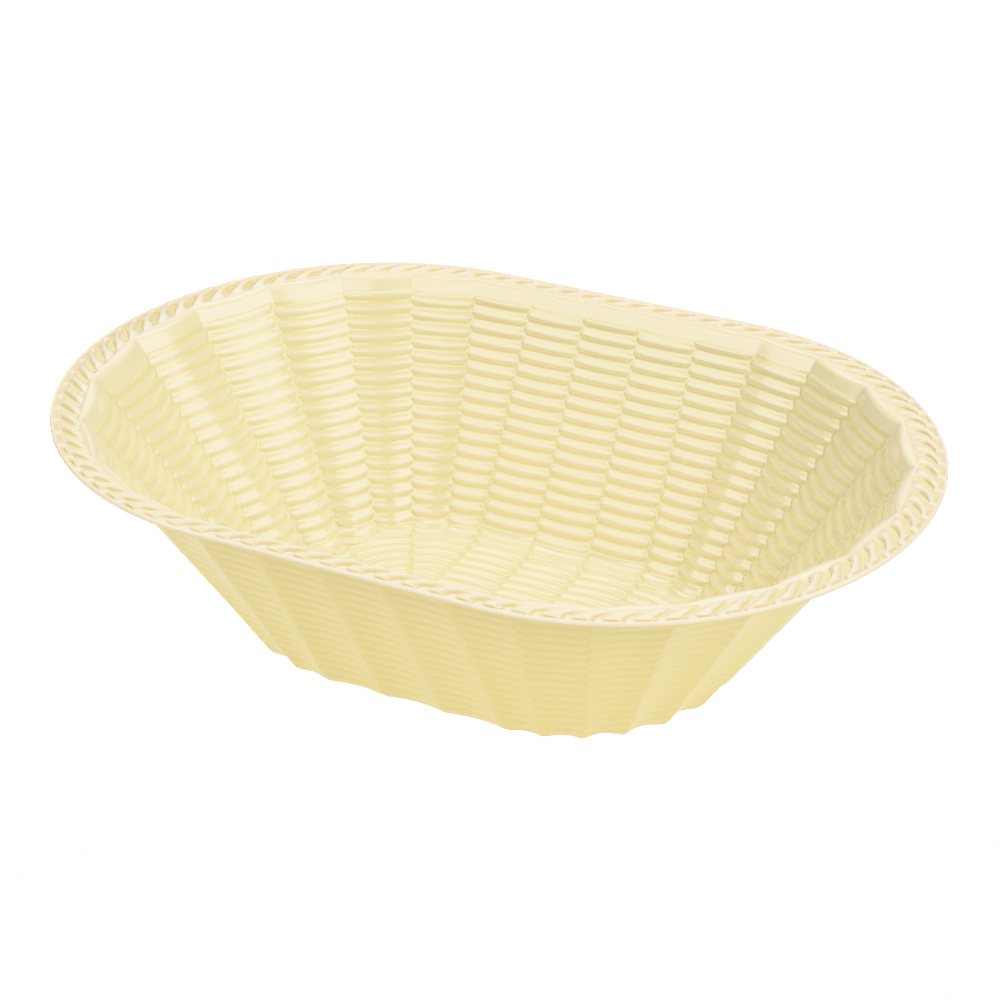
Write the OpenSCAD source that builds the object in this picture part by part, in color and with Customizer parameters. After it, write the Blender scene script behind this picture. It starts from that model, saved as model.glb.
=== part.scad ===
// Oval basket moulded in one piece, with a woven floor and wall, a rolled lip and a plaited rim.
// The origin is at the middle of the base, +X runs along the basket and +Z points up.

/* [Rim] */
// Length over the outer edge of the rim
rim_length = 300; // [250:1:360]
// Width over the outer edge of the rim
rim_width = 215; // [185:1:258]
// Height from the base to the top of the plait
rim_height = 83; // [60:1:110]
// Width of the flat rim beside the long sides
side_flange = 5.5; // [4.5:0.5:12]
// Width of the flat rim at the two ends
end_flange = 9; // [6:0.5:16]
// Thickness of the rounded bead round the outer edge
bead_t = 1.9; // [1.5:0.1:3]
// Width of the bead
bead_w = 1.8; // [1.2:0.1:3]
// Radius of the roll from the rim down into the wall, on its upper face
lip_radius = 4.5; // [3:0.1:5.5]
// Height of the plain band under the roll
lip_band = 3.2; // [1:0.1:8]

/* [Base] */
// Length of the base, to the point where the wall would meet the table
base_length = 168; // [130:1:200]
// Width of the base, measured the same way
base_width = 109; // [88:1:132]
// Outer radius of the heel, between the floor and the wall
heel_radius = 13; // [8:0.5:18]

/* [Moulding] */
// Thickness of the wall, the lip and the rim
wall_t = 1.3; // [1:0.1:2.2]
// Thickness of the floor
floor_t = 1.5; // [1:0.1:2.5]
// Depth of one end over its width, where 1 is a half circle
fullness = 0.955; // [0.85:0.005:1]

/* [Weave] */
// Panels along each long side
side_panels = 3; // [1:1:5]
// Panels round each end
end_panels = 12; // [8:2:16]
// Length of the straight rows of panels in the middle
weave_length = 65; // [40:1:80]
// How far the end panels swell into the basket
end_pillow = 2; // [0:0.1:3]
// How far the side panels swell into the basket
side_pillow = 0.5; // [0:0.1:2]

/* [Plait] */
// Strands in the plait
plait_count = 93; // [60:1:110]
// Height of a strand over the rim
strand_h = 0.6; // [0.4:0.1:1.2]
// Widest part of an inner strand
strand_w = 3; // [1.5:0.1:3.6]
// Widest part of an outer strand
tuck_w = 1.8; // [1:0.1:2.2]

/* [Hidden] */

basket_color = [0.93, 0.87, 0.58];
rib_color = [0.96, 0.91, 0.68];
strand_color = [0.98, 0.94, 0.78];

facets = 4;                               // spokes in one panel
panels = 2 * (side_panels + end_panels);
spokes = panels * facets;
fan_x = weave_length / 2;                 // the end panels fan out from here
fan_stretch = 0.87;                       // how much the fan leans to the sides
heel_steps = 3;
lip_steps = 3;

flange_z = rim_height - strand_h;         // upper face of the rim
under_z = flange_z - wall_t;              // lower face of the rim
rim = [rim_length / 2, rim_width / 2];
bead_in = rim - [bead_w, bead_w];
flange_in = [rim[0] - end_flange, rim[1] - side_flange];
base = [base_length / 2, base_width / 2];

// Lean of the wall from upright, for a roll that ends at the point p and a base that starts at q.
// The wall's outer face touches the roll's lower radius and meets the table at q.
roll_r = lip_radius - wall_t;
function wall_lean(p, q, a = 30, n = 12) =
    n == 0 ? a : wall_lean(p, q, atan((p - roll_r * cos(a) - q) / (under_z - roll_r * (1 - sin(a)))), n - 1);
lean = [for (i = [0, 1]) wall_lean(flange_in[i], base[i])];
heel_x = [for (i = [0, 1]) base[i] - heel_radius * tan((90 - lean[i]) / 2)];

// Profile points are [half length, half width, height at the ends, height at the sides].
// The heel turns from flat (0) to the wall's lean (1) round its own centre.
function heel_at(f, r) =
    let (turn = [for (i = [0, 1]) f * (90 - lean[i])])
    [for (i = [0, 1]) heel_x[i] + r * sin(turn[i]), for (i = [0, 1]) heel_radius - r * cos(turn[i])];
// The roll turns from the wall's lean (0) to flat (1) round a centre under the rim.
function roll_at(f, r) =
    let (turn = [for (i = [0, 1]) lean[i] + f * (90 - lean[i])])
    [for (i = [0, 1]) flange_in[i] - r * cos(turn[i]), for (i = [0, 1]) under_z - roll_r + r * sin(turn[i])];
// A point that lies on the wall, below the foot of the roll by a drop along its slope.
function band_at(r, drop) =
    let (top = roll_at(0, r))
    [for (i = [0, 1]) top[i] - drop * sin(lean[i]), for (i = [0, 1]) top[i + 2] - drop * cos(lean[i])];

// One spoke: the point it starts from, its direction, and how far round the end it is (0 to 1).
function spoke(u) =
    let (v = u % panels, half = panels / 2, w = v % half, side = v < half ? 1 : -1)
    w < end_panels
        ? let (a = side * (180 * w / end_panels - 90), c = cos(a))
          [side * fan_x, side * fan_stretch * c, side * sin(side * a), c * c]
        : [side * fan_x * (1 - 2 * (w - end_panels) / side_panels), 0, side, 0];

// Where a spoke meets the oval of half length a and half width b.
function cross_oval(k, a, b) =
    let (s = a - fullness * b, rx = fullness * b, x0 = abs(k[0]), dx = abs(k[1]), dy = abs(k[2]),
         sx = k[0] < 0 || k[1] < 0 ? -1 : 1, sy = k[2] < 0 ? -1 : 1,
         qa = pow(dx / rx, 2) + pow(dy / b, 2), qb = (x0 - s) * dx / rx / rx, qc = pow((x0 - s) / rx, 2) - 1,
         t = dy > 0 && x0 + b * dx / dy <= s ? b / dy : (-qb + sqrt(qb * qb - qa * qc)) / qa)
    [sx * (x0 + t * dx), sy * t * dy];

// How far a panel swells at a spoke: nothing on its creases, most in its middle.
function swell(u, k) =
    let (t = u - floor(u))
    4 * t * (1 - t) * (side_pillow + (end_pillow - side_pillow) * sqrt(k[3]));

// A point of the moulding: a profile point p taken round to the spoke u, and pushed in by a share of the swell.
function place(u, p, share) =
    let (k = spoke(u), d = share * swell(u, k), xy = cross_oval(k, p[0] - d, p[1] - d))
    [xy[0], xy[1], p[3] + (p[2] - p[3]) * k[3]];
function outline(size) =
    [for (i = [0 : spokes - 1]) cross_oval(spoke(i / facets), size[0], size[1])];

// A closed ring whose section is a loop of profile points, each with its share of the swell.
module ring(loop, shares) {
    n = len(loop);
    points = [for (i = [0 : spokes - 1]) for (j = [0 : n - 1]) place(i / facets, loop[j], shares[j])];
    faces = [for (i = [0 : spokes - 1]) for (j = [0 : n - 1])
        let (a = i * n + j, b = i * n + (j + 1) % n, c = ((i + 1) % spokes) * n + (j + 1) % n,
             d = ((i + 1) % spokes) * n + j)
        each [[a, b, c], [a, c, d]]];
    polyhedron(points = points, faces = faces);
}

module woven_floor() {
    color(rib_color) linear_extrude(floor_t) polygon(outline([heel_x[0], heel_x[1]]));
}

module heel() {
    outer = [for (j = [0 : heel_steps]) heel_at(j / heel_steps, heel_radius)];
    inner = [for (j = [heel_steps : -1 : 0])
        heel_at(j / heel_steps, heel_radius - (floor_t + (wall_t - floor_t) * j / heel_steps))];
    rise = [for (j = [0 : heel_steps]) j / heel_steps];
    fall = [for (j = [heel_steps : -1 : 0]) j / heel_steps];
    color(basket_color) ring(concat(outer, inner), concat(rise, fall));
}

module woven_wall() {
    loop = [heel_at(1, heel_radius), band_at(roll_r, lip_band), band_at(lip_radius, lip_band),
            heel_at(1, heel_radius - wall_t)];
    color(rib_color) ring(loop, [1, 1, 1, 1]);
}

module rolled_lip() {
    under = [for (j = [0 : lip_steps]) roll_at(j / lip_steps, roll_r)];
    over = [for (j = [lip_steps : -1 : 0]) roll_at(j / lip_steps, lip_radius)];
    fade = [for (j = [0 : lip_steps]) 1 - j / lip_steps];
    grow = [for (j = [lip_steps : -1 : 0]) 1 - j / lip_steps];
    color(basket_color)
        ring(concat([band_at(roll_r, lip_band)], under, over, [band_at(lip_radius, lip_band)]),
             concat([1], fade, grow, [1]));
}

module rim_flange() {
    color(basket_color) translate([0, 0, under_z]) linear_extrude(wall_t) difference() {
        polygon(outline(bead_in));
        polygon(outline(flange_in));
    }
}

module rim_bead() {
    mid = flange_z - bead_t / 2;
    drop = flange_z - bead_t;
    soft = bead_w / 3;
    function level(size, z) = [size[0], size[1], z, z];
    loop = [level(bead_in, drop), level(rim - [soft, soft], drop), level(rim, mid - bead_t / 5),
            level(rim, mid + bead_t / 5), level(rim - [soft, soft], flange_z), level(bead_in, flange_z)];
    color(strand_color) ring(loop, [0, 0, 0, 0, 0, 0]);
}

// Distance round the rim at each spoke, so that the strands can be evenly spaced.
rim_line = outline(rim);
rim_steps = [for (i = [0 : spokes - 1]) norm(rim_line[(i + 1) % spokes] - rim_line[i])];
function total(v, n, i = 0) = i >= n ? 0 : v[i] + total(v, n, i + 1);
rim_table = [for (i = [0 : spokes]) [total(rim_steps, i), i / facets]];
rim_around = rim_table[spokes][0];
pitch = rim_around / plait_count;

// A place on the flat rim: a distance round it, and a share of the way in from the bead to the lip.
function on_flange(round, share) =
    let (d = round - rim_around * floor(round / rim_around), size = bead_in + (flange_in - bead_in) * share)
    cross_oval(spoke(lookup(d, rim_table)), size[0], size[1]);

// A leaf-shaped strand between two places on the rim, each a [distance round, share of the way in].
module leaf(from, to, width) {
    ends = [on_flange(from[0], from[1]), on_flange(to[0], to[1])];
    along = (ends[1] - ends[0]) / norm(ends[1] - ends[0]);
    across = [-along[1], along[0]] * width / 2;
    half = [[0, 0.35], [0.2, 0.85], [0.55, 1], [0.85, 0.75], [1, 0.3]];
    left = [for (h = half) ends[0] + (ends[1] - ends[0]) * h[0] + across * h[1]];
    right = [for (i = [len(half) - 1 : -1 : 0])
        ends[0] + (ends[1] - ends[0]) * half[i][0] - across * half[i][1]];
    translate([0, 0, flange_z]) linear_extrude(strand_h) polygon(concat(left, right));
}

module plait_strands() {
    color(strand_color) for (i = [0 : plait_count - 1])
        leaf([(i + 0.15) * pitch, 0.4], [(i + 0.85) * pitch, 0.93], strand_w);
}

module plait_tucks() {
    color(strand_color) for (i = [0 : plait_count - 1])
        leaf([(i + 0.62) * pitch, 0.13], [(i + 1.05) * pitch, 0.2], tuck_w);
}

woven_floor();
heel();
woven_wall();
rolled_lip();
rim_flange();
rim_bead();
plait_strands();
plait_tucks();
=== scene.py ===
import math

import bmesh
import bpy
import numpy as np
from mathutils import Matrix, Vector


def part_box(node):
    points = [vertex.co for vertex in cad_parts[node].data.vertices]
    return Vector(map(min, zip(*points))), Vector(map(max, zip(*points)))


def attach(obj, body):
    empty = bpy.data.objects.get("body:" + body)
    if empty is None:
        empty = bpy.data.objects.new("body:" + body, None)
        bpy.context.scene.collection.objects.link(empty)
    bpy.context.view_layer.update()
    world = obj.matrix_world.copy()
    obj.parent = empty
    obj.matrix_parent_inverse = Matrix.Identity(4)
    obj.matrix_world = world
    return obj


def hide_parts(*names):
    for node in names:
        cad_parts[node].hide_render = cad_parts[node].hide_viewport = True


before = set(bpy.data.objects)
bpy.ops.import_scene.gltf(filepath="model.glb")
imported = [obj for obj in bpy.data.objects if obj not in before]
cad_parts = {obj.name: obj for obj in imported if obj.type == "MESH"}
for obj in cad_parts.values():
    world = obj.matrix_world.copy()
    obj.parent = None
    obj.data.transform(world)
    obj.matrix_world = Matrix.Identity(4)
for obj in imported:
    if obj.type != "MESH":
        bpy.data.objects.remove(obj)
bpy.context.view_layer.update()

scene = bpy.context.scene
mm = 0.001
tiny = 1e-9


def halfSize(node):
    # half the length and half the width of a CAD node, in millimetres
    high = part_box(node)[1]
    return np.array([high[0], high[1]]) / mm


# Lengths are millimetres, except where a note says metres.
basket = {
    "wallThickness": 1.3,
    "floorThickness": 1.5,
    "beadWidth": 1.8,
    "lipRadius": 4.5,                   # upper face of the roll
    "lipBand": 3.2,                     # plain band under the roll
    "baseHalf": np.array([84.0, 54.5]),     # half length and half width of the foot
    "heelRadius": 13.0,
    "fullness": 0.955,                  # depth of one end over its width
    "endPanels": 12,
    "sidePanels": 3,
    "fanHalf": 32.5,                    # the end panels fan out from here
    "fanStretch": 0.87,
    "leanGuess": 30,                    # degrees
    "leanRounds": 12,
}
rimHalf = halfSize("rim_bead")
flangeHalf = halfSize("rolled_lip")
beadHalf = rimHalf - basket["beadWidth"]
flatEnd, flatSide = beadHalf - flangeHalf
sidePanels = basket["sidePanels"]
endPanels = basket["endPanels"]
halfCount = sidePanels + endPanels
panels = 2 * halfCount
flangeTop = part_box("rim_flange")[1][2] / mm
underTop = flangeTop - basket["wallThickness"]
rollRadius = basket["lipRadius"] - basket["wallThickness"]


def wallLean(top, foot):
    # the wall touches the roll's lower radius at the top and meets the table at foot; each round
    # takes the slope between those two points, with the touching point of the round before
    angle = math.radians(basket["leanGuess"])
    for step in range(basket["leanRounds"]):
        rise = underTop - rollRadius * (1 - math.sin(angle))
        angle = math.atan((top - rollRadius * math.cos(angle) - foot) / rise)
    return angle


lean = np.array([wallLean(flangeHalf[i], basket["baseHalf"][i]) for i in (0, 1)])
heelHalf = basket["baseHalf"] - basket["heelRadius"] * np.tan((np.pi / 2 - lean) / 2)


# A profile row is (half length, half width, height at the ends, height at the sides).
def heelRows(f, radius):
    # an arc that turns from flat at f = 0 to the wall's lean at f = 1 round the heel's own centre
    turn = f[:, None] * (np.pi / 2 - lean)
    return np.hstack([heelHalf + radius * np.sin(turn), basket["heelRadius"] - radius * np.cos(turn)])


def rollRows(f, radius):
    # an arc that turns from the wall's lean at f = 0 to flat at f = 1 round a centre under the rim
    turn = lean + f[:, None] * (np.pi / 2 - lean)
    level = underTop - rollRadius + radius * np.sin(turn)
    return np.hstack([flangeHalf - radius * np.cos(turn), level])


def slopeRows(first, last, f):
    # a straight slope from the row first at f = 0 to the row last at f = 1
    return first + (last - first) * f[:, None]


def bandFoot(radius):
    # the foot of the roll, moved down along the wall's slope by the height of the plain band
    top = rollRows(np.array([0.0]), radius)[0]
    drop = basket["lipBand"]
    return top - drop * np.concatenate([np.sin(lean), np.cos(lean)])


def spokeOf(u):
    # A spoke starts on the middle line and runs out to the wall; u counts panels round the basket.
    # Gives its start, its direction, and how far round the end it is: 0 at the sides, 1 at the tip.
    w = np.mod(u, halfCount)
    side = np.where(np.mod(u, panels) < halfCount, 1.0, -1.0)
    angle = np.pi * w / endPanels - np.pi / 2
    atEnd = w < endPanels
    startX = np.where(atEnd, side * basket["fanHalf"],
                      side * basket["fanHalf"] * (1 - 2 * (w - endPanels) / sidePanels))
    dirX = np.where(atEnd, side * basket["fanStretch"] * np.cos(angle), 0.0)
    dirY = np.where(atEnd, side * np.sin(angle), side)
    return startX, dirX, dirY, np.where(atEnd, np.cos(angle) ** 2, 0.0)


def ovalCrossing(u, a, b):
    # where a spoke meets the oval of half length a and half width b: on the straight side y = b, or
    # else on the elliptic end, at the root t of the quadratic for start + t * direction
    startX, dirX, dirY, share = spokeOf(u)
    rx = basket["fullness"] * b
    straight = a - rx
    x0, dx, dy = np.abs(startX), np.abs(dirX), np.abs(dirY)
    signX = np.where((startX < 0) | (dirX < 0), -1.0, 1.0)
    signY = np.where(dirY < 0, -1.0, 1.0)
    qa = (dx / rx) ** 2 + (dy / b) ** 2
    qb = (x0 - straight) * dx / rx ** 2
    qc = ((x0 - straight) / rx) ** 2 - 1
    root = np.sqrt(np.maximum(qb * qb - qa * qc, 0))
    safeDy = np.maximum(dy, tiny)
    onSide = (dy > tiny) & (x0 + b * dx / safeDy <= straight)
    t = np.where(onSide, b / safeDy, (-qb + root) / qa)
    return signX * (x0 + t * dx), signY * t * dy


weave = {
    "columnsPerPanel": 18,
    "rollSteps": 16,
    "bandSteps": 8,
    "wallSteps": 190,
    "heelSteps": 30,
    "floorSteps": 80,
    "endPillow": 2.7,               # how far a panel swells into the basket
    "sidePillow": 0.7,
    "heelPillow": 1.1,
    "outerExtra": 0.35,             # more swell on the outside, so that the wall thins over a panel
    "lowSwell": 1.1,                # how soon the side panels take the swell of the heel
    "swellEnd": 0.4,                # share of the heel over which the swell dies out
    "creaseRadius": 0.5,
    "firstRib": 73.8,               # height of the top rib
    "ribPitch": 4.37,
    "heelPitch": 4.6,
    "floorPitch": 5.2,
    "ribHeight": 0.38,
    "ribFlat": 1.15,                # over 1 makes a rib flatter on top
    "ribEnd": 1.4,                  # length of a rib's rounded end
    "ribStart": (0.2, 1.2),         # the ribs rise over this stretch under the plain band
    "heelTop": 7.0,                 # about where the wall meets the heel
    "zigzag": 0.55,                 # swing of the creases
    "floorZigzag": 0.9,
    "swingPower": 3,                # how closely the swing keeps to the creases
    "outerDepth": 0.12,             # depth of the grooves outside
    "floorRib": 1.9,                # the floor's ribs over the wall's
    "floorPillow": 0.8,
    "floorCrease": 0.5,
    "narrowest": 1.0,               # columns narrower than this swell less
    "pillowStart": (0.5, 1.0),      # shares of the heel over which the floor's pillows start
    "takeOver": (0.35, 0.65),       # shares of the heel over which floor columns replace panels
    "poleFade": (0.9, 1.0),         # the ribs die out before the middle line
    "lipHighlightFade": 0.7,                 # share of the roll over which the lip's painted highlight fades
}


# The strands of the plait lie in a trough that ends a little before they do.
trough = {
    "depth": 0.8,
    "fade": 1.5,                    # width of the slope up to the lip
    "spare": 0.2,
    "strandReach": (6.9, 9.0),      # how far inwards the strands reach, at the sides and at the ends
}


def smooth(x):
    # 3x^2 - 2x^3 between 0 and 1
    x = np.clip(x, 0, 1)
    return x * x * (3 - 2 * x)


def ramp(x, first, last):
    # 0 up to first, 1 from last on, and smooth between
    return smooth((x - first) / (last - first))


def flatWidth(share):
    # width of the flat rim between the bead and the lip
    return flatSide + (flatEnd - flatSide) * share


def troughAt(inset, share):
    # 1 in the trough and 0 on the lip, for an inset from the bead and a share of the way round the end
    near, far = trough["strandReach"]
    last = near + (far - near) * share - trough["spare"]
    return smooth((last - inset) / trough["fade"])


columns = panels * weave["columnsPerPanel"]
inPanel = np.arange(weave["columnsPerPanel"]) / weave["columnsPerPanel"]
inPanel = 0.5 - 0.5 * np.cos(np.pi * inPanel)       # closer together beside the creases
panelOf = np.repeat(np.arange(panels), weave["columnsPerPanel"])[None, :]
shareOf = np.tile(inPanel, panels)[None, :]
steadyU = panelOf + shareOf

# the floor has one column for every two end panels
floorLocal = np.mod(steadyU, halfCount)
atEnd = floorLocal < endPanels
floorSpan = np.where(atEnd, 2.0, 1.0)
floorStart = np.where(atEnd, 2 * np.floor(floorLocal / 2), np.floor(floorLocal))
floorShare = (floorLocal - floorStart) / floorSpan
floorColumn = np.where(atEnd, floorLocal // 2, np.floor(floorLocal) - endPanels // 2)
floorColumn = floorColumn + np.where(np.mod(steadyU, panels) < halfCount, 0, endPanels // 2 + sidePanels)


def bars(phase, edge):
    # Height 0 to 1 of rounded bars: half a cosine wave of the distance from the bar's middle line.
    # phase counts bars, and edge is the distance to the crease, where the ends are rounded off.
    offset = np.abs(phase - np.round(phase)) * 2
    end = np.maximum(weave["ribEnd"] - edge, 0) / weave["ribEnd"]
    distance = np.minimum(np.hypot(offset, end), 1)
    return 0.5 + 0.5 * np.cos(np.pi * distance ** weave["ribFlat"])


def slide(shift, width):
    # moves each column sideways by a shift in millimetres, on into the next panel past a crease
    before = shareOf * width
    after = width - before
    leftWidth = np.roll(width, weave["columnsPerPanel"], 1)
    rightWidth = np.roll(width, -weave["columnsPerPanel"], 1)
    plain = steadyU + shift / np.maximum(width, tiny)
    overLeft = panelOf - (-shift - before) / np.maximum(leftWidth, tiny)
    overRight = panelOf + 1 + (shift - after) / np.maximum(rightWidth, tiny)
    return np.where(-shift > before, overLeft, np.where(shift > after, overRight, plain))


def steps(n):
    # n even steps from 0 that stop short of 1
    return np.arange(n) / n


def sheetRows(upper):
    # profile rows from the flange's inner edge to the floor's edge: an arc for the roll, a slope for
    # the plain band and one for the wall, and an arc for the heel, on the upper or the lower face
    radius = basket["lipRadius"] if upper else rollRadius
    topRadius = basket["heelRadius"] - (basket["wallThickness"] if upper else 0)
    lowRadius = basket["heelRadius"] - (basket["floorThickness"] if upper else 0)
    roll = rollRows(1 - steps(weave["rollSteps"]), radius)
    foot = rollRows(np.array([0.0]), radius)[0]
    band = slopeRows(foot, bandFoot(radius), steps(weave["bandSteps"]))
    wallEnd = heelRows(np.array([1.0]), topRadius)[0]
    wall = slopeRows(bandFoot(radius), wallEnd, steps(weave["wallSteps"]))
    f = np.linspace(1, 0, weave["heelSteps"] + 1)
    heel = heelRows(f, (lowRadius + (topRadius - lowRadius) * f)[:, None])
    return np.vstack([roll, band, wall, heel])


# rows of the sheet: the roll, the plain band, the wall, the heel and the floor
counts = [weave["rollSteps"], weave["bandSteps"], weave["wallSteps"], weave["heelSteps"] + 1]
rollCut, bandCut, wallCut, heelCut = np.cumsum(counts)
totalRows = heelCut + weave["floorSteps"]
rowIndex = np.arange(totalRows)
rollF = np.clip(1 - rowIndex / weave["rollSteps"], 0, 1)[:, None]
heelF = np.clip(1 - (rowIndex - wallCut) / weave["heelSteps"], 0, 1)[:, None]
floorF = np.clip((rowIndex - heelCut + 1) / weave["floorSteps"], 0, 1)[:, None]
wallF = np.clip((rowIndex - bandCut) / weave["wallSteps"], 0, 1)[:, None]


def towardsMiddle(u, a, b):
    # the oval crossing, drawn in over the floor to the spoke's start on the middle line
    x, y = ovalCrossing(u, a, b)
    start = spokeOf(u)[0]
    return start + (x - start) * (1 - floorF), y * (1 - floorF)


def arch(edge, radius, width):
    # 0 at a crease and 1 in the middle of a panel: the parabola 4s(1 - s) of the share s of the width
    # at that distance from the crease, rounded over the crease by a radius
    s = (np.hypot(edge, radius) - radius) / np.maximum(width, tiny)
    return 4 * s * (1 - s)


def sheet(upper):
    # One face of the woven sheet: profile rows carried round the oval, moved sideways by the zigzag of
    # the creases, pushed inwards by the swell, and lifted along the normal by ribs and trough.
    profile = sheetRows(upper)
    profile = np.vstack([profile, np.repeat(profile[-1:], weave["floorSteps"], 0)])
    share = spokeOf(steadyU)[3]
    endMore = profile[:, 2:3] - profile[:, 3:4]
    level = profile[:, 3:4] + endMore * share

    # bars are counted downwards, on along the heel and in over the floor, where the count starts at
    # the nearest half bar so that all columns agree
    heelTurn = np.pi / 2 - lean[1]
    innerRadius = basket["heelRadius"] - basket["wallThickness"]
    heelCount = (1 - heelF) * heelTurn * innerRadius / weave["heelPitch"]
    heelLevel = profile[wallCut, 3] + endMore[wallCut] * share
    wallCount = (weave["firstRib"] - np.maximum(level, heelLevel)) / weave["ribPitch"]
    wallPhase = wallCount + heelCount + 0.5 * np.mod(panelOf, 2)
    endCount = (weave["firstRib"] - heelLevel) / weave["ribPitch"] + heelCount[-1]
    floorCount = np.round(endCount.mean() * 2) / 2 + floorF * heelHalf[1] / weave["floorPitch"]
    floorPhase = floorCount - heelCount[-1] + heelCount + 0.5 * np.mod(floorColumn, 2)
    floorMix = ramp(1 - heelF, *weave["takeOver"])
    wallDrop = wallF * (profile[bandCut, 3] - weave["heelTop"])
    ribbed = ramp(wallDrop, *weave["ribStart"]) * (rowIndex[:, None] >= bandCut)

    # width of a panel and of a floor column at each row
    x, y = towardsMiddle(steadyU, profile[:, 0:1], profile[:, 1:2])
    ahead = np.hypot(np.roll(x, -1, 1) - x, np.roll(y, -1, 1) - y)
    byPanel = ahead.reshape(totalRows, panels, -1).sum(2)
    panelWidth = np.repeat(byPanel, weave["columnsPerPanel"], 1)
    floorWidth = panelWidth * floorSpan

    # creases swing to and fro round the ends of the bars
    swing = weave["zigzag"] * np.cos(2 * np.pi * wallPhase) * ribbed * (1 - floorMix)
    lowSwing = weave["floorZigzag"] * np.cos(2 * np.pi * floorPhase) * floorMix * (1 - floorF)
    power = weave["swingPower"]
    shift = swing * (2 * shareOf - 1) ** power + lowSwing * (2 * floorShare - 1) ** power
    u = slide(shift, panelWidth)

    # panels swell into the basket between their creases
    edge = np.minimum(shareOf, 1 - shareOf) * panelWidth
    low = smooth(wallF * weave["lowSwell"])
    sidePush = weave["sidePillow"] + (weave["heelPillow"] - weave["sidePillow"]) * low
    push = sidePush + (weave["endPillow"] - sidePush) * np.sqrt(share)
    push = push + (0 if upper else weave["outerExtra"])
    fade = np.where(rowIndex[:, None] < rollCut, 1 - rollF ** 2, 1.0) * smooth(heelF / weave["swellEnd"])
    push = push * arch(edge, weave["creaseRadius"], panelWidth) * fade
    x, y = towardsMiddle(u, profile[:, 0:1] - push, profile[:, 1:2] - push)
    points = np.stack([x, y, profile[:, 3:4] + endMore * spokeOf(u)[3]], 2)

    # the mask paints shade into the grooves: it is 1 on the ribs and on every plain part, and falls
    # towards 0 in a groove, where the shaded colour shows
    floorEdge = np.minimum(floorShare, 1 - floorShare) * floorWidth
    onWall, onFloor = bars(wallPhase, edge), bars(floorPhase, floorEdge)
    rib = ribbed * ((1 - floorMix) * onWall + floorMix * onFloor)
    rib = rib * (1 - ramp(floorF, *weave["poleFade"]))
    mask = 1 - ribbed * (1 - rib)

    around = np.roll(points, -1, 1) - np.roll(points, 1, 1)
    normal = np.cross(around, np.gradient(points, axis=0))
    length = np.linalg.norm(normal, axis=2, keepdims=True)
    normal = np.where(length > tiny, normal / np.maximum(length, tiny), [0.0, 0.0, 1.0])
    normal = normal * np.where(normal[:, :, 2:] < 0, -1, 1)         # both faces lift upwards
    if upper:
        rollArc = (1 - rollF) * heelTurn * basket["lipRadius"]
        dip = troughAt(flatWidth(share) + rollArc, share)
        # on the lip's upper face the mask paints a highlight on the roll, which fades down it and is
        # gone in the trough
        lipHighlightMask = smooth(rollF / weave["lipHighlightFade"]) * (1 - dip)
        mask = np.where(rowIndex[:, None] < bandCut, lipHighlightMask, mask)
        pillow = arch(floorEdge, weave["floorCrease"], np.maximum(floorWidth, weave["narrowest"]))
        pillow = pillow * ramp(1 - heelF, *weave["pillowStart"]) * (1 - floorF ** 2)
        lift = weave["ribHeight"] * rib * (1 + (weave["floorRib"] - 1) * floorMix)
        lift = lift - trough["depth"] * dip + weave["floorPillow"] * pillow
    else:
        lift = weave["outerDepth"] * (1 - rib) * ribbed
    return points + normal * lift[:, :, None], mask


meshing = {
    "mergeDistance": 1e-6,          # metres
    "sharpAngle": 60,               # degrees
}


def meshPiece(name, points, quads, mask, merge=False, faces=None):
    # mask paints light: where it is 0 the shaded colour paints shade, where it is 1 the lit colour
    # shows, and faces gives each quad its material
    mesh = bpy.data.meshes.new(name)
    mesh.vertices.add(len(points))
    mesh.vertices.foreach_set("co", (points * mm).astype(np.float32).ravel())
    mesh.loops.add(quads.size)
    mesh.loops.foreach_set("vertex_index", quads.astype(np.int32).ravel())
    mesh.polygons.add(len(quads))
    mesh.polygons.foreach_set("loop_start", np.arange(0, quads.size, 4, dtype=np.int32))
    layer = mesh.attributes.new("rib", "FLOAT", "POINT")
    layer.data.foreach_set("value", mask.astype(np.float32).ravel())
    if faces is not None:
        mesh.polygons.foreach_set("material_index", faces.astype(np.int32))
    mesh.update(calc_edges=True)
    mesh.validate()
    if merge:
        work = bmesh.new()
        work.from_mesh(mesh)
        bmesh.ops.remove_doubles(work, verts=work.verts, dist=meshing["mergeDistance"])
        work.to_mesh(mesh)
        work.free()
    mesh.polygons.foreach_set("use_smooth", np.ones(len(mesh.polygons), dtype=bool))
    mesh.set_sharp_from_angle(angle=math.radians(meshing["sharpAngle"]))
    piece = bpy.data.objects.new(name, mesh)
    scene.collection.objects.link(piece)
    return piece


def cellCorners(index):
    # the four corners of every cell of a grid, in order round the cell
    return index[..., :-1, :-1], index[..., :-1, 1:], index[..., 1:, 1:], index[..., 1:, :-1]


def standIn(piece, node):
    # the piece takes a CAD node's place on the one body
    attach(piece, "root")
    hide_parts(node)
    return piece


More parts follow.
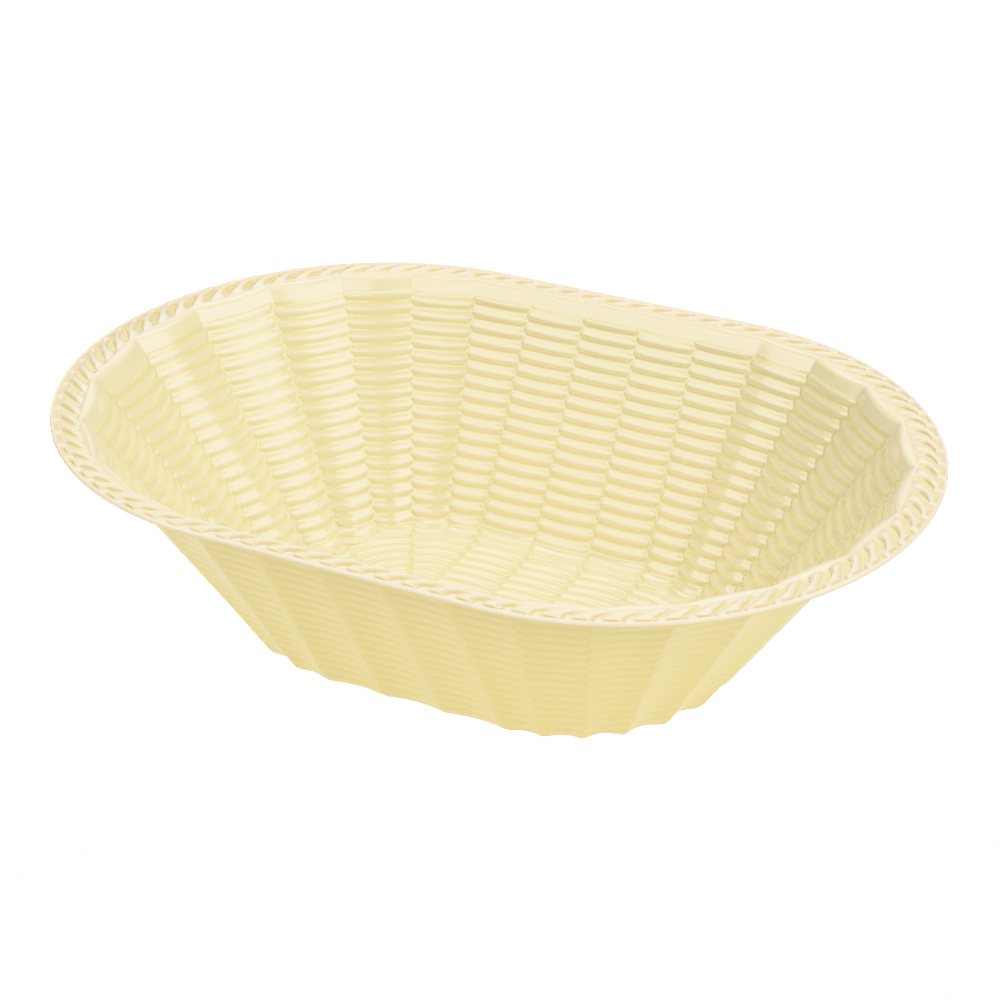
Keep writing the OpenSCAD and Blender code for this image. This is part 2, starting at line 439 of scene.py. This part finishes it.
def shellPiece(name, upper, lower, upperMask, lowerMask, closed, pole):
    # A shell between two grids of the same size: a face for each cell of both grids, and a strip
    # between them along each open edge. a, b, c, d are the corners of a cell, and closed joins the
    # last column to the first. The lower grid takes the second material.
    rows, cols = upper.shape[:2]
    index = np.arange(rows * cols).reshape(rows, cols)
    if closed:
        index = np.hstack([index, index[:, :1]])
    under = index + rows * cols
    a, b, c, d = cellCorners(index)
    a2, b2, c2, d2 = cellCorners(under)
    quads = [np.stack([a, b, c, d], 2).reshape(-1, 4), np.stack([a2, d2, c2, b2], 2).reshape(-1, 4)]
    quads.append(np.stack([b[0], a[0], a2[0], b2[0]], 1))
    if not pole:
        quads.append(np.stack([d[-1], c[-1], c2[-1], d2[-1]], 1))
    if not closed:
        quads.append(np.stack([a[:, 0], d[:, 0], d2[:, 0], a2[:, 0]], 1))
        quads.append(np.stack([c[:, -1], b[:, -1], b2[:, -1], c2[:, -1]], 1))
    points = np.vstack([upper.reshape(-1, 3), lower.reshape(-1, 3)])
    mask = np.concatenate([upperMask.ravel(), lowerMask.ravel()])
    faces = np.concatenate([np.full(len(group), int(k == 1)) for k, group in enumerate(quads)])
    return meshPiece(name, points, np.vstack(quads), mask, merge=pole, faces=faces)


print("weaving the sheet")
upperPoints, upperMask = sheet(True)
lowerPoints, lowerMask = sheet(False)


def sheetPiece(name, node, rows, cols=None, pole=False):
    # a stretch of the sheet: its rows, all the way round or only in the columns given
    grids = [grid[rows].copy() for grid in (upperPoints, lowerPoints, upperMask, lowerMask)]
    if cols is not None:
        grids = [np.take(grid, cols, axis=1) for grid in grids]
    if node == "rolled_lip":
        grids[2][-1] = 0                    # the lip's painted highlight fades out before it meets the wall
    return standIn(shellPiece(name, *grids, cols is None, pole), node)


lipPiece = sheetPiece("rolledLip", "rolled_lip", slice(0, bandCut + 1))
wallCorners = [0, endPanels, halfCount, halfCount + endPanels, panels]
wallPieces = []
for i, name in enumerate(("wallRightEnd", "wallBack", "wallLeftEnd", "wallFront")):
    first, last = (corner * weave["columnsPerPanel"] for corner in wallCorners[i:i + 2])
    cols = np.mod(np.arange(first, last + 1), columns)
    wallPieces.append(sheetPiece(name, "woven_wall", slice(bandCut, wallCut + 1), cols))
heelPiece = sheetPiece("heelWeave", "heel", slice(wallCut, heelCut))
floorRows = slice(heelCut - 1, totalRows)
floorPiece = sheetPiece("floorWeave", "woven_floor", floorRows, pole=True)


rim = {
    "beadThickness": 1.9,
    "beadVisible": 1.5,             # width of the rounded bead
    "beadShape": 0.85,              # under 1 makes the bead's sides fuller than an ellipse
    "beadBelow": -0.15,             # where the underside's painted shade, the outside copy of the plastic, starts on the bead
    "beadSteps": 14,
    "aroundSteps": 720,
    "tableSteps": 3000,
    "flangeSteps": 8,
    "underBead": 1.0,               # how far the flange reaches under the bead
    "strands": 93,
    "sink": 0.95,                   # how far a leaf reaches down into the rim
    "narrowest": 0.2,               # least width of a leaf, in pitches
}

print("moulding the rim")
ringU = np.linspace(0, panels, rim["aroundSteps"] + 1)[:-1]
tableU = np.linspace(0, panels, rim["tableSteps"] + 1)
tableX, tableY = ovalCrossing(tableU, rimHalf[0], rimHalf[1])
tableLength = np.concatenate([[0], np.cumsum(np.hypot(np.diff(tableX), np.diff(tableY)))])
ringLength = tableLength[-1]


def ringPiece(name, half, z, u, mask, under):
    # A closed ring: a loop of rows (half length, half width) carried round the oval, with a height at
    # each place. under marks the rows that take the second material.
    n = len(half)
    x, y = ovalCrossing(u[None, :], half[:, 0:1], half[:, 1:2])
    points = np.stack([x, y, np.broadcast_to(z, x.shape)], 2)
    index = np.arange(n * len(u)).reshape(n, len(u))
    index = np.vstack([index, index[:1]])
    index = np.hstack([index, index[:, :1]])
    quads = np.stack(cellCorners(index), 2).reshape(-1, 4)
    faces = np.repeat(under, len(u))
    return meshPiece(name, points.reshape(-1, 3), quads, np.broadcast_to(mask, x.shape), faces=faces)


def beadRing():
    # a rounded strip: an ellipse whose cosine is raised to a power under 1, carried round the rim
    t = np.linspace(0, 2 * np.pi, 2 * rim["beadSteps"] + 1)[:-1]
    out = np.sign(np.cos(t)) * np.abs(np.cos(t)) ** rim["beadShape"]
    mid = flangeTop - rim["beadThickness"] / 2
    half = rimHalf[None, :] + rim["beadVisible"] / 2 * (out - 1)[:, None]
    z = (mid + rim["beadThickness"] / 2 * np.sin(t))[:, None]
    # the bead's mask is 1 all round: its upper part takes the rim's paler lit colour, a painted
    # highlight
    return ringPiece("rimBead", half, z, ringU, np.ones_like(z), np.sin(t) < rim["beadBelow"])


def flangeRing():
    # a flat strip from inside the bead to the lip, with its upper face sunk by the trough
    inward = np.linspace(0, 1, rim["flangeSteps"] + 1)[:, None]
    start = beadHalf + rim["underBead"]
    half = start + (flangeHalf - start) * inward
    share = spokeOf(steadyU)[3]
    inset = (flatWidth(share) + rim["underBead"]) * inward - rim["underBead"]
    dip = troughAt(inset, share)
    top = flangeTop - trough["depth"] * dip
    z = np.vstack([np.full_like(top, underTop), top])
    # on the upper face the mask paints shade into the trough; the underside takes the outside's painted
    # shade
    mask = np.vstack([np.ones_like(dip), 1 - dip])
    under = np.arange(len(z)) < len(top)
    return ringPiece("rimFlange", np.vstack([half[::-1], half]), z, steadyU[0], mask, under)


def rimSpot(distance, inset):
    # a place on the rim: a distance round it, and an inset from the bead over the flat and down the roll
    u = np.interp(np.mod(distance, ringLength), tableLength, tableU)
    flat = (flatEnd, flatSide)
    radius = basket["lipRadius"]
    half, drop = [], []
    for i in (0, 1):
        turn = np.maximum(inset - flat[i], 0) / radius
        half.append(beadHalf[i] - np.minimum(inset, flat[i]) - radius * np.sin(turn))
        drop.append(radius * (1 - np.cos(turn)))
    share = spokeOf(u)[3]
    level = flangeTop - drop[1] - (drop[0] - drop[1]) * share
    return np.stack([*ovalCrossing(u, half[0], half[1]), level], -1), share


def leafPiece(name, node, leaf):
    # Each leaf is what two slots leave between them: a strip that runs inwards over the rim while it
    # swings round it, as 1 - (1 - t)^bend. t (0 to 1) is the way along it and v (-1 to 1) across it.
    # A slot is widest at its middle, as 1 - |2t - 1|^pinch. Across, the height is 1 - |v|^crown, and
    # along, it rises and falls smoothly. Sides and ends go down into the rim.
    pitch = ringLength / rim["strands"]
    t = 0.5 - 0.5 * np.cos(np.pi * np.linspace(0, 1, leaf["along"] + 1))
    v = np.sin(np.linspace(-np.pi / 2, np.pi / 2, leaf["across"] + 1))
    number = np.arange(rim["strands"])[:, None, None]
    swing = leaf["swing"] * pitch * (1 - (1 - t) ** leaf["bend"])
    lead = leaf["swing"] * pitch * leaf["bend"] * np.maximum(1 - t, tiny) ** (leaf["bend"] - 1)
    depth = leaf["to"][0] - leaf["from"]
    opening = np.maximum(1 - np.abs(2 * t - 1) ** leaf["pinch"], 0)
    slot = leaf["slot"] * opening * np.hypot(depth, lead) / depth
    width = np.maximum(pitch - slot, rim["narrowest"] * pitch) * leaf["fill"]
    width[[0, -1]] = 0                      # the ends close in a point under the rim
    distance = number * pitch + swing[None, :, None] + leaf["start"] * pitch \
        + (width[:, None] * v[None, :] / 2)[None]
    endShare = rimSpot(distance, 0 * distance)[1]
    reach = leaf["to"][0] + (leaf["to"][1] - leaf["to"][0]) * endShare
    place = rimSpot(distance, leaf["from"] + (reach - leaf["from"]) * t[None, :, None])[0]
    lift = leaf["height"] * smooth(t / leaf["rise"]) * smooth((1 - t) / leaf["fall"])
    lift[0], lift[-1] = -rim["sink"], -rim["sink"]
    crown = (1 - np.abs(v) ** leaf["crown"])[None, :] * np.ones((len(t), 1))
    z = place[..., 2] - rim["sink"] + ((lift + rim["sink"])[:, None] * crown)[None]
    points = np.concatenate([place[..., :2], z[..., None]], 3)
    count, rows, cols = points.shape[:3]
    index = np.arange(count * rows * cols).reshape(count, rows, cols)
    top = np.stack(cellCorners(index), 3).reshape(-1, 4)
    left, right = index[:, :, 0], index[:, :, -1]
    low = np.stack([right[:, :-1], left[:, :-1], left[:, 1:], right[:, 1:]], 2).reshape(-1, 4)
    # the mask follows the crown: leaf tops take the rim's paler lit colour, a painted highlight, and the
    # leaf sides the shaded colour, painted shade
    mask = np.repeat(crown[None], count, 0)
    piece = meshPiece(name, points.reshape(-1, 3), np.vstack([top, low]), mask, merge=True)
    return standIn(piece, node)


# "from" and "to" are insets from the bead, and "to" gives one for the sides and one for the ends.
# "start" and "swing" are pitches round the rim, "slot" is a width, and "rise" and "fall" are shares.
strandLeaf = {
    "start": 0.0,
    "from": 0.7,
    "to": trough["strandReach"],
    "swing": 1.05,
    "bend": 1.5,
    "slot": 2.2,
    "pinch": 2.3,
    "fill": 1.0,
    "height": 0.58,
    "rise": 0.3,
    "fall": 0.3,
    "crown": 3.0,
    "along": 16,
    "across": 8,
}
tuckLeaf = {
    "start": 0.72,
    "from": -1.3,
    "to": (1.6, 1.8),
    "swing": 0.15,
    "bend": 1.0,
    "slot": 0.0,
    "pinch": 2.0,
    "fill": 0.42,
    "height": 0.2,
    "rise": 0.4,
    "fall": 0.4,
    "crown": 3.0,
    "along": 8,
    "across": 6,
}

beadPiece = standIn(beadRing(), "rim_bead")
flangePiece = standIn(flangeRing(), "rim_flange")
strandPiece = leafPiece("plaitStrands", "plait_strands", strandLeaf)
tuckPiece = leafPiece("plaitTucks", "plait_tucks", tuckLeaf)


# Each copy of the plastic has a lit colour and a shaded colour, mixed by the mask on the mesh: painted
# shade in grooves, slots and the trough, and painted highlights on the rim and the lip.
plastic = {
    # inside: the shaded colour is painted shade in the grooves between the ribs
    "inside": {
        "litColour": (0.675, 0.603, 0.39),
        "shadedColour": (0.64, 0.56, 0.29),
        "rough": 0.2,
        "grain": 0.05,
        "ripple": 0.05,
        "specular": 0.8,
        "coat": 1.0,
    },
    # outside: a darker, deeper copy of the same plastic's colour, painted shade, whose shaded colour
    # also paints shade into its grooves
    "outside": {
        "litColour": (0.665, 0.56, 0.225),
        "shadedColour": (0.65, 0.54, 0.21),
        "rough": 0.34,
        "grain": 0.07,
        "ripple": 0.03,
        "specular": 0.5,
        "coat": 0.0,
    },
    # rim: the lit colour is paler than the plastic, a painted highlight on the bead and the leaf tops,
    # and the shaded colour is darker, painted shade in the slots and the trough
    "rim": {
        "litColour": (0.78, 0.69, 0.53),
        "shadedColour": (0.58, 0.485, 0.22),
        "rough": 0.2,
        "grain": 0.05,
        "ripple": 0.03,
        "specular": 0.8,
        "coat": 1.0,
    },
    # lip: the lit colour is paler than the plastic, a painted highlight on the roll; the shaded colour
    # is the plastic's own colour
    "lip": {
        "litColour": (0.77, 0.68, 0.49),
        "shadedColour": (0.685, 0.615, 0.40),
        "rough": 0.2,
        "grain": 0.05,
        "ripple": 0.05,
        "specular": 0.8,
        "coat": 1.0,
    },
    "coatRoughness": 0.07,
    "ior": 1.5,
    "rippleSize": 110,              # sizes are noise scales, in cycles per metre
    "grainSize": 1500,
    "cloudSize": 16,
    "cloudDetail": 2,
    "cloudDepth": 0.05,             # how much the brightness drifts
    "bumpStrength": 0.6,
    "bumpDistance": 0.001,          # metres
}

print("mixing the plastic")


def plasticGroup():
    # Moulded plastic with painted light: the colour goes from the shaded colour to the lit colour with
    # the mask, which paints shade and highlights, times a slow cloudiness.
    # The roughness and the height carry a fine grain, and the height a soft ripple as well.
    group = bpy.data.node_groups.new("mouldedPlasticPaintedLight", "ShaderNodeTree")
    face = group.interface
    number, color = "NodeSocketFloat", "NodeSocketColor"
    for name, kind in (("Lit Share", number), ("Lit Colour", color), ("Shaded Colour", color), ("Rough", number),
                       ("Grain", number), ("Ripple", number)):
        face.new_socket(name, in_out="INPUT", socket_type=kind)
    for name, kind in (("Color", color), ("Roughness", number), ("Height", number)):
        face.new_socket(name, in_out="OUTPUT", socket_type=kind)
    nodes, links = group.nodes, group.links
    given, result = nodes.new("NodeGroupInput"), nodes.new("NodeGroupOutput")
    place = nodes.new("ShaderNodeTexCoord")

    def noise(size, detail=1):
        node = nodes.new("ShaderNodeTexNoise")
        node.inputs["Scale"].default_value = size
        node.inputs["Detail"].default_value = detail
        links.new(place.outputs["Object"], node.inputs["Vector"])
        return node.outputs["Fac"]

    def calculate(kind, a, b, c=None):
        node = nodes.new("ShaderNodeMath")
        node.operation = kind
        for socket, value in zip(node.inputs, (a, b, c)):
            if isinstance(value, (int, float)):
                socket.default_value = value
            elif value is not None:
                links.new(value, socket)
        return node.outputs[0]

    cloud = noise(plastic["cloudSize"], plastic["cloudDetail"])
    grain = noise(plastic["grainSize"])
    ripple = noise(plastic["rippleSize"])

    paintedLightMix = nodes.new("ShaderNodeMix")
    paintedLightMix.data_type = "RGBA"
    links.new(given.outputs["Lit Share"], paintedLightMix.inputs["Factor"])
    links.new(given.outputs["Shaded Colour"], paintedLightMix.inputs["A"])
    links.new(given.outputs["Lit Colour"], paintedLightMix.inputs["B"])
    depth = plastic["cloudDepth"]
    brightness = calculate("MULTIPLY_ADD", cloud, depth, 1 - depth / 2)
    shade = nodes.new("ShaderNodeHueSaturation")
    links.new(brightness, shade.inputs["Value"])
    links.new(paintedLightMix.outputs["Result"], shade.inputs["Color"])
    links.new(shade.outputs["Color"], result.inputs["Color"])

    centred = calculate("SUBTRACT", grain, 0.5)
    rough = calculate("MULTIPLY_ADD", centred, given.outputs["Grain"], given.outputs["Rough"])
    links.new(rough, result.inputs["Roughness"])
    fine = calculate("MULTIPLY", grain, given.outputs["Grain"])
    height = calculate("MULTIPLY_ADD", ripple, given.outputs["Ripple"], fine)
    links.new(height, result.inputs["Height"])
    return group


mouldedPlasticPaintedLight = plasticGroup()


def plasticMaterial(name, look):
    # one copy of the moulded plastic: its lit and shaded colours, mixed by the mask stored on the mesh,
    # paint shade and highlights
    material = bpy.data.materials.new(name)
    material.use_nodes = True
    nodes, links = material.node_tree.nodes, material.node_tree.links
    shader = nodes["Principled BSDF"]
    mask = nodes.new("ShaderNodeAttribute")
    mask.attribute_name = "rib"
    surface = nodes.new("ShaderNodeGroup")
    surface.node_tree = mouldedPlasticPaintedLight
    surface.inputs["Lit Colour"].default_value = (*look["litColour"], 1)
    surface.inputs["Shaded Colour"].default_value = (*look["shadedColour"], 1)
    surface.inputs["Rough"].default_value = look["rough"]
    surface.inputs["Grain"].default_value = look["grain"]
    surface.inputs["Ripple"].default_value = look["ripple"]
    bump = nodes.new("ShaderNodeBump")
    bump.inputs["Strength"].default_value = plastic["bumpStrength"]
    bump.inputs["Distance"].default_value = plastic["bumpDistance"]
    links.new(mask.outputs["Fac"], surface.inputs["Lit Share"])
    links.new(surface.outputs["Color"], shader.inputs["Base Color"])
    links.new(surface.outputs["Roughness"], shader.inputs["Roughness"])
    links.new(surface.outputs["Height"], bump.inputs["Height"])
    links.new(bump.outputs["Normal"], shader.inputs["Normal"])
    shader.inputs["IOR"].default_value = plastic["ior"]
    shader.inputs["Specular IOR Level"].default_value = look["specular"]
    shader.inputs["Coat Weight"].default_value = look["coat"]
    shader.inputs["Coat Roughness"].default_value = plastic["coatRoughness"]
    return material


# The inside's shaded colour paints shade into the grooves of the wall, heel and floor.
insidePlastic = plasticMaterial("creamInsidePlastic", plastic["inside"])
# The outside and the undersides take a darker, deeper copy of the plastic's colour: painted shade.
outsideShadedPlastic = plasticMaterial("creamOutsideShadedPlastic", plastic["outside"])
# The rim's copy paints highlights on the bead and the leaf tops, and shade in the slots and the trough.
rimPaintedLightPlastic = plasticMaterial("creamRimPaintedLightPlastic", plastic["rim"])
# The lip's copy paints a highlight on the roll.
lipHighlightPlastic = plasticMaterial("creamLipHighlightPlastic", plastic["lip"])
for piece in wallPieces + [heelPiece, floorPiece]:
    piece.data.materials.append(insidePlastic)
lipPiece.data.materials.append(lipHighlightPlastic)
for piece in (beadPiece, flangePiece, strandPiece, tuckPiece):
    piece.data.materials.append(rimPaintedLightPlastic)
for piece in wallPieces + [heelPiece, floorPiece, lipPiece, beadPiece, flangePiece]:
    piece.data.materials.append(outsideShadedPlastic)


# Lengths here are metres. Azimuth 0 is the front and 90 the right-hand end.
studio = {
    "worldGlow": 0.2,               # lights the basket
    "floorGlow": 1.0,               # lights its outside from below
    "backdropGlow": 30.0,           # seen behind and below it
    "floorColor": (0.35, 0.35, 0.35, 1),
    "floorRough": 0.9,
    "floorHalf": 0.32,
    "floorDrop": 0.0005,
    "white": (1, 1, 1, 1),
    "aim": (0, 0, 0.05),
    # name: azimuth, elevation, distance, size, radiance
    "lights": {
        "leftBox": (-22, 42, 1.5, (2.0, 0.85), 3.2),
        "rightBox": (92, 42, 1.5, (1.7, 0.95), 4.6),
        "backBox": (-153, 33, 1.8, (1.0, 0.5), 1.6),
        "sideBox": (98, 13, 1.6, (1.0, 0.4), 2.5),
        "topBox": (-153, 60, 1.6, (1.6, 0.5), 5.0),
        "overheadBox": (26, 84, 1.5, (1.0, 0.35), 4.5),
    },
}

print("setting up the studio")


def glowFor(tree, lit, seen):
    # a strength that is lit for light on the basket and seen for what the camera looks at
    lightPath = tree.nodes.new("ShaderNodeLightPath")
    choose = tree.nodes.new("ShaderNodeMapRange")
    choose.inputs["To Min"].default_value = lit
    choose.inputs["To Max"].default_value = seen
    tree.links.new(lightPath.outputs["Is Camera Ray"], choose.inputs["Value"])
    return choose.outputs["Result"]


half, drop = studio["floorHalf"], -studio["floorDrop"]
corners = [(-half, -half, drop), (half, -half, drop), (half, half, drop), (-half, half, drop)]
floorMesh = bpy.data.meshes.new("studioFloor")
floorMesh.from_pydata(corners, [], [(0, 1, 2, 3)])
studioFloor = bpy.data.objects.new("studioFloor", floorMesh)
scene.collection.objects.link(studioFloor)

floorMaterial = bpy.data.materials.new("paleFloor")
floorMaterial.use_nodes = True
tree = floorMaterial.node_tree
shader = tree.nodes["Principled BSDF"]
shader.inputs["Base Color"].default_value = studio["floorColor"]
shader.inputs["Roughness"].default_value = studio["floorRough"]
shader.inputs["Specular IOR Level"].default_value = 0
shader.inputs["Emission Color"].default_value = studio["white"]
glow = glowFor(tree, studio["floorGlow"], studio["backdropGlow"])
tree.links.new(glow, shader.inputs["Emission Strength"])
floorMesh.materials.append(floorMaterial)

world = bpy.data.worlds.new("studioWorld")
scene.world = world
world.use_nodes = True
tree = world.node_tree
backdrop = tree.nodes["Background"]
backdrop.inputs["Color"].default_value = studio["white"]
glow = glowFor(tree, studio["worldGlow"], studio["backdropGlow"])
tree.links.new(glow, backdrop.inputs["Strength"])


def softbox(name, azimuth, elevation, distance, size, radiance):
    # an area light that faces the basket, with an energy of radiance x pi x area
    light = bpy.data.lights.new(name, "AREA")
    light.shape = "RECTANGLE"
    light.size, light.size_y = size
    light.energy = radiance * math.pi * size[0] * size[1]
    holder = bpy.data.objects.new(name, light)
    scene.collection.objects.link(holder)
    a, e = math.radians(azimuth), math.radians(elevation)
    back = Vector((math.sin(a) * math.cos(e), -math.cos(a) * math.cos(e), math.sin(e)))
    holder.location = Vector(studio["aim"]) + back * distance
    holder.rotation_euler = back.to_track_quat("Z", "Y").to_euler()


for name, values in studio["lights"].items():
    softbox(name, *values)


print("aiming the camera")
camera = {
    "place": (337.98, -672.59, 468.73),
    "lookAt": (8.16, -9.94, 58.88),
    "lens": 93.04,
    "sensor": 36,                   # width
}
cameraData = bpy.data.cameras.new("camera")
cameraData.lens = camera["lens"]
cameraData.sensor_width = camera["sensor"]
cameraObject = bpy.data.objects.new("camera", cameraData)
scene.collection.objects.link(cameraObject)
cameraObject.location = Vector(camera["place"]) * mm
direction = Vector(camera["lookAt"]) * mm - cameraObject.location
cameraObject.rotation_euler = direction.to_track_quat("-Z", "Y").to_euler()
scene.camera = cameraObject

scene.view_settings.view_transform = "Khronos PBR Neutral"
scene.view_settings.exposure = 0.0
